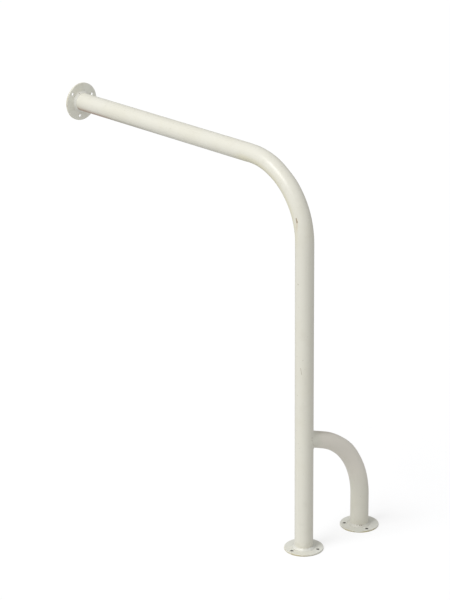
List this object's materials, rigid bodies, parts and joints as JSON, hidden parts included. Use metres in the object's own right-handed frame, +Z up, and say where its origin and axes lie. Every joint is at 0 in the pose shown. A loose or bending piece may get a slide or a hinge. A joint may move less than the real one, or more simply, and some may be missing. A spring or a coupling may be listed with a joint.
{
  "type": "pool handrail",
  "caption": "Bent tubular pool handrail with a round wall flange, a round floor flange and a short bent side leg on its own floor flange.",
  "frame": {"origin": "centre of the underside of the post's floor flange", "axes": "+Z up along the post; the arm runs towards -X and ends at the wall; the side leg stands off towards +Y"},
  "size_m": [0.801, 0.271, 0.951],
  "materials": {
    "tube_enamel": "semi-gloss off-white enamel on steel tube",
    "flange_enamel": "semi-gloss off-white enamel on steel plate, worn at the rim",
    "weld_enamel": "off-white enamel over fillet welds"
  },
  "bodies": {
    "root": {"rail_tube": "tube_enamel", "leg_tube": "tube_enamel", "wall_flange": "flange_enamel", "post_flange": "flange_enamel", "leg_flange": "flange_enamel", "wall_flange_weld": "weld_enamel", "post_flange_weld": "weld_enamel", "leg_flange_weld": "weld_enamel", "leg_joint_weld": "weld_enamel"}
  },
  "joints": []
}
